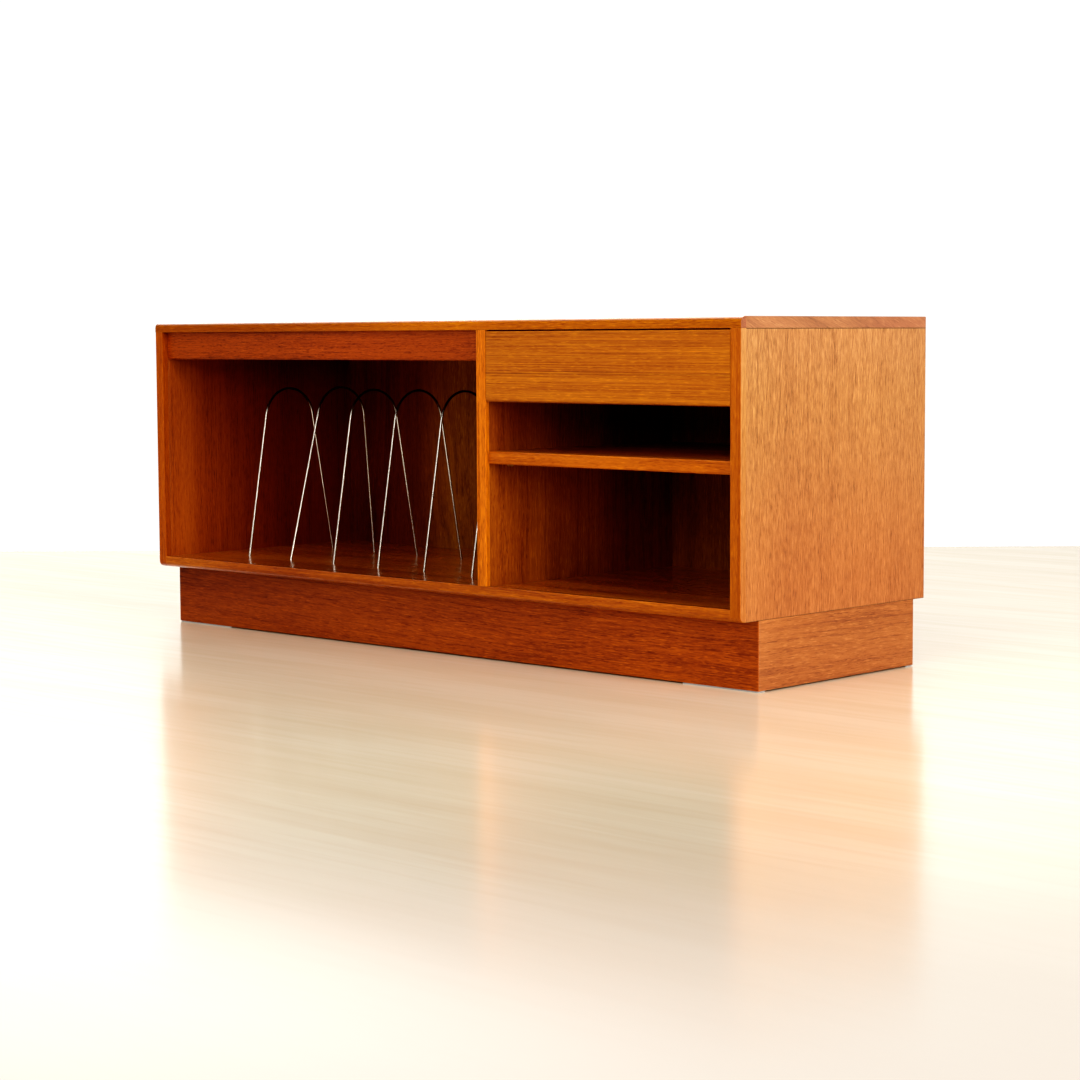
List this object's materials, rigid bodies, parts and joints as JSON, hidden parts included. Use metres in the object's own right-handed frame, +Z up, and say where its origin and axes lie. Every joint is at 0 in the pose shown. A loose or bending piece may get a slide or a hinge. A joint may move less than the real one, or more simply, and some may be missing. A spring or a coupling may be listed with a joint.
{
  "type": "record and hi-fi cabinet",
  "caption": "Low open-front teak cabinet for a hi-fi and long-play records, with wire record dividers in one bay, a drawer and a loose shelf in the other, on a recessed plinth.",
  "frame": {"origin": "centre of the outer box, on the floor under the felt pads", "axes": "+X to the right seen from the front, the open front faces -Y, +Z up"},
  "size_m": [1.33, 0.45, 0.537],
  "materials": {
    "teak_top": "oiled teak veneer, grain along X",
    "teak_side": "oiled teak veneer, grain upright",
    "teak_lipping": "solid teak, oiled",
    "teak_inner": "oiled teak veneer, semi-matt",
    "teak_back": "thin teak-faced board, grain upright",
    "teak_fascia": "solid teak, oiled",
    "teak_plinth": "teak-faced plinth boards, grain along the board",
    "teak_drawer_front": "teak veneer, grain along X",
    "drawer_wood": "pale solid hardwood, clear finish",
    "drawer_ply": "thin plywood",
    "beech": "solid beech, waxed",
    "hidden_softwood": "plain softwood, unfinished",
    "steel_wire": "bright drawn steel wire",
    "screw_steel": "zinc-plated steel",
    "pin_brass": "plain brass",
    "felt": "pale grey felt"
  },
  "bodies": {
    "cabinet": {"top_core": "teak_top", "left_side_panel": "teak_side", "right_side_panel": "teak_side", "top_front_lipping": "teak_lipping", "top_left_lipping": "teak_lipping", "top_right_lipping": "teak_lipping", "left_side_lipping": "teak_lipping", "right_side_lipping": "teak_lipping", "bottom_front_lipping": "teak_lipping", "division_lipping": "teak_lipping", "division_panel": "teak_inner", "bottom_panel": "teak_inner", "back_panel": "teak_back", "fascia_rail": "teak_fascia", "plinth_front_rail": "teak_plinth", "plinth_back_rail": "teak_plinth", "plinth_left_rail": "teak_plinth", "plinth_right_rail": "teak_plinth", "drawer_runner_left": "beech", "drawer_runner_right": "beech", "carcass_dowels": "beech", "plinth_cross_rail": "hidden_softwood", "plinth_corner_blocks": "hidden_softwood", "fascia_glue_blocks": "hidden_softwood", "record_divider_1": "steel_wire", "record_divider_2": "steel_wire", "record_divider_3": "steel_wire", "record_divider_4": "steel_wire", "record_divider_5": "steel_wire", "record_divider_6": "steel_wire", "back_panel_screws": "screw_steel", "plinth_screws": "screw_steel", "runner_screws": "screw_steel", "shelf_pins": "pin_brass", "plinth_felt_pads": "felt"},
    "drawer": {"drawer_front": "teak_drawer_front", "drawer_left_side": "drawer_wood", "drawer_right_side": "drawer_wood", "drawer_back": "drawer_wood", "drawer_bottom": "drawer_ply", "drawer_bottom_screws": "screw_steel"},
    "shelf": {"adjustable_shelf": "teak_inner", "shelf_front_lipping": "teak_lipping"}
  },
  "joints": [
    {"name": "drawer_slide", "type": "slide", "parent": "cabinet", "child": "drawer", "axis": [0, -1, 0], "range_m": [0, 0.3]},
    {"name": "shelf_removal", "type": "slide", "parent": "cabinet", "child": "shelf", "axis": [0, -1, 0], "range_m": [0, 0.46]}
  ]
}
